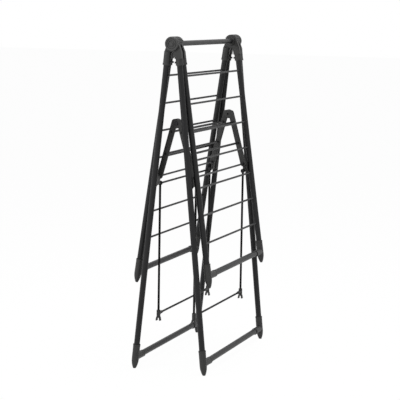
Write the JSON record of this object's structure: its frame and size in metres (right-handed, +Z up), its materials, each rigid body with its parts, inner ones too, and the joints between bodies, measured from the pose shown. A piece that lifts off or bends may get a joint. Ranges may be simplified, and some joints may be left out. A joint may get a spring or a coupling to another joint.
{
  "type": "folding clothes drying rack",
  "caption": "Free-standing folding clothes drying rack: A-frame legs on round hub hinges, hanging rung wings with fold-out struts and a folding V spreader.",
  "frame": {"origin": "on the floor, under the middle of the top rail", "axes": "+Z up, X along the top rail and hinge axle, +Y towards the back leg, -Y towards the front leg"},
  "size_m": [0.5846, 0.2536, 1.0215],
  "materials": {
    "black_tube": "satin black powder coat",
    "dark_plastic": "matte moulded",
    "black_steel": "black zinc"
  },
  "bodies": {
    "top_rail": {"top_rail": "black_tube", "rail_collars": "dark_plastic", "hub_axles": "black_steel", "hub_cap_left": "dark_plastic", "hub_cap_right": "dark_plastic"},
    "leg_back": {"leg_back_knuckle_left": "dark_plastic", "leg_back_knuckle_right": "dark_plastic", "leg_back_tube_left": "black_tube", "leg_back_tube_right": "black_tube", "leg_back_foot_left": "dark_plastic", "leg_back_foot_right": "dark_plastic", "leg_back_bracket_left": "dark_plastic", "leg_back_bracket_right": "dark_plastic", "leg_back_screws": "black_steel", "leg_back_base_tube": "black_tube", "leg_back_pivot_pins": "black_steel"},
    "wing_back": {"wing_back_knuckle_left": "dark_plastic", "wing_back_knuckle_right": "dark_plastic", "wing_back_tube_left": "black_tube", "wing_back_tube_right": "black_tube", "wing_back_corner_left": "dark_plastic", "wing_back_corner_right": "dark_plastic", "wing_back_screws": "black_steel", "wing_back_end_tube": "black_tube", "wing_back_rungs": "black_tube"},
    "spreader_back": {"spreader_back_arm_left": "dark_plastic", "spreader_back_arm_right": "dark_plastic", "spreader_back_rungs": "black_tube", "spreader_back_rivet": "black_steel"},
    "strut_back": {"strut_back_rods": "black_tube", "strut_back_forks": "dark_plastic", "strut_back_cross_rod": "black_tube"},
    "leg_front": {"leg_front_knuckle_left": "dark_plastic", "leg_front_knuckle_right": "dark_plastic", "leg_front_tube_left": "black_tube", "leg_front_tube_right": "black_tube", "leg_front_foot_left": "dark_plastic", "leg_front_foot_right": "dark_plastic", "leg_front_bracket_left": "dark_plastic", "leg_front_bracket_right": "dark_plastic", "leg_front_screws": "black_steel", "leg_front_base_tube": "black_tube", "leg_front_pivot_pins": "black_steel"},
    "wing_front": {"wing_front_knuckle_left": "dark_plastic", "wing_front_knuckle_right": "dark_plastic", "wing_front_tube_left": "black_tube", "wing_front_tube_right": "black_tube", "wing_front_corner_left": "dark_plastic", "wing_front_corner_right": "dark_plastic", "wing_front_screws": "black_steel", "wing_front_end_tube": "black_tube", "wing_front_rungs": "black_tube"},
    "spreader_front": {"spreader_front_arm_left": "dark_plastic", "spreader_front_arm_right": "dark_plastic", "spreader_front_rungs": "black_tube", "spreader_front_rivet": "black_steel"},
    "strut_front": {"strut_front_rods": "black_tube", "strut_front_forks": "dark_plastic", "strut_front_cross_rod": "black_tube"}
  },
  "joints": [
    {"name": "leg_back_fold", "type": "hinge", "parent": "top_rail", "child": "leg_back", "pos_m": [0, 0, 1], "axis": [1, 0, 0], "range_deg": [-2.5, 16.3]},
    {"name": "wing_back_lift", "type": "hinge", "parent": "leg_back", "child": "wing_back", "pos_m": [0, 0, 1], "axis": [1, 0, 0], "range_deg": [0, 75.5]},
    {"name": "spreader_back_fold", "type": "hinge", "parent": "leg_back", "child": "spreader_back", "pos_m": [0, 0.05634, 0.5966], "axis": [1, 0, 0], "range_deg": [-4.97, 32.16]},
    {"name": "strut_back_swing", "type": "hinge", "parent": "leg_back", "child": "strut_back", "pos_m": [0, 0.05863, 0.57371], "axis": [1, 0, 0], "range_deg": [0, 161.67]},
    {"name": "leg_front_fold", "type": "hinge", "parent": "top_rail", "child": "leg_front", "pos_m": [0, 0, 1], "axis": [-1, 0, 0], "range_deg": [-2.5, 16.3]},
    {"name": "wing_front_lift", "type": "hinge", "parent": "leg_front", "child": "wing_front", "pos_m": [0, 0, 1], "axis": [-1, 0, 0], "range_deg": [0, 75.5]},
    {"name": "spreader_front_fold", "type": "hinge", "parent": "leg_front", "child": "spreader_front", "pos_m": [0, -0.05634, 0.5966], "axis": [-1, 0, 0], "range_deg": [-4.97, 32.16]},
    {"name": "strut_front_swing", "type": "hinge", "parent": "leg_front", "child": "strut_front", "pos_m": [0, -0.05863, 0.57371], "axis": [-1, 0, 0], "range_deg": [0, 161.67]}
  ],
  "couplings": [
    {"joint": "spreader_back_fold", "follows": "leg_back_fold", "ratio": 1.97},
    {"joint": "strut_back_swing", "follows": "wing_back_lift", "ratio": 2.14},
    {"joint": "spreader_front_fold", "follows": "leg_back_fold", "ratio": 1.97},
    {"joint": "strut_front_swing", "follows": "wing_front_lift", "ratio": 2.14},
    {"joint": "leg_front_fold", "follows": "leg_back_fold", "ratio": 1}
  ]
}
